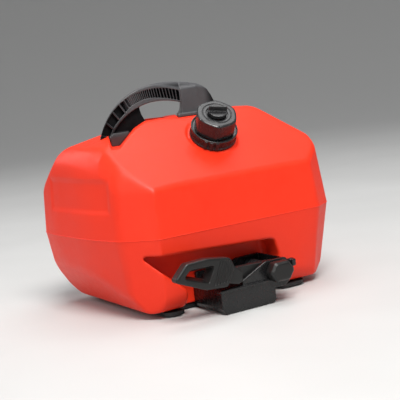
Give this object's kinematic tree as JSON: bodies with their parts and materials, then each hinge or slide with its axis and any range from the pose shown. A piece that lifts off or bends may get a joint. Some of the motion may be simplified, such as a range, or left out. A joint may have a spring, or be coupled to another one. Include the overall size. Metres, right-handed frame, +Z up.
{
  "type": "portable fuel caddy",
  "caption": "Moulded fuel caddy: roofed tank with ribbed carry handle, vented screw cap on the slope, base frame and swing-lever latches that hook it to deck anchors.",
  "frame": {"origin": "centre of the object's box on the floor plane, under the foot pads", "axes": "+X along the tank from the lever ends towards the latch pivots, -Y the side with the filler cap (front), +Z up"},
  "size_m": [0.3656, 0.358, 0.302],
  "materials": {
    "tank_red": "satin moulded",
    "handle_black": "fine moulded grain",
    "cap_black": "semi-gloss moulded",
    "latch_gloss": "gloss moulded",
    "latch_grip": "matt soft-touch",
    "frame_black": "matt moulded",
    "bush_polymer": "plain bearing polymer",
    "steel": "zinc plated",
    "brass": "knurled",
    "rubber": "matt"
  },
  "bodies": {
    "tank": {"tank_shell": "tank_red", "handle_inserts": "brass", "base_inserts": "brass", "front_latch_inserts": "brass", "rear_latch_inserts": "brass", "carry_handle": "handle_black", "handle_screws": "steel", "lock_ring": "cap_black", "base_frame": "frame_black", "base_bolts": "steel", "foot_pads": "rubber", "front_bracket": "latch_gloss", "front_bushes": "bush_polymer", "front_bracket_screws": "steel", "rear_bracket": "latch_gloss", "rear_bushes": "bush_polymer", "rear_bracket_screws": "steel"},
    "cap_carrier": {"cap_seal": "rubber"},
    "cap": {"filler_cap": "cap_black", "vent_seal": "rubber"},
    "vent": {"vent_knob": "cap_black"},
    "front_latch": {"front_lever": "latch_grip", "front_claw": "steel", "front_shaft": "steel", "front_clip": "steel", "front_boss_cap": "latch_grip", "front_spring": "steel"},
    "rear_latch": {"rear_lever": "latch_grip", "rear_claw": "steel", "rear_shaft": "steel", "rear_clip": "steel", "rear_boss_cap": "latch_grip", "rear_spring": "steel"}
  },
  "joints": [
    {"name": "cap_lift", "type": "slide", "parent": "tank", "child": "cap_carrier", "axis": [-0.1162, -0.6178, 0.7777], "range_m": [0, 0.018]},
    {"name": "cap_unscrew", "type": "hinge", "parent": "cap_carrier", "child": "cap", "pos_m": [0.0145, -0.061, 0.22193], "axis": [-0.1162, -0.6178, 0.7777], "range_deg": [0, 1081]},
    {"name": "vent_turn", "type": "hinge", "parent": "cap", "child": "vent", "pos_m": [0.0145, -0.061, 0.22193], "axis": [-0.1162, -0.6178, 0.7777], "range_deg": [0, 270]},
    {"name": "front_latch_swing", "type": "hinge", "parent": "tank", "child": "front_latch", "pos_m": [0.028, -0.13, 0.043], "axis": [0, 1, 0], "range_deg": [0, 85], "stiffness_Nm_per_rad": 0.25, "springref_deg": -20.05},
    {"name": "rear_latch_swing", "type": "hinge", "parent": "tank", "child": "rear_latch", "pos_m": [0.028, 0.13, 0.043], "axis": [0, 1, 0], "range_deg": [0, 85], "stiffness_Nm_per_rad": 0.25, "springref_deg": -20.05}
  ],
  "couplings": [
    {"joint": "cap_unscrew", "follows": "cap_lift", "rad_per_m": 1047.2}
  ]
}
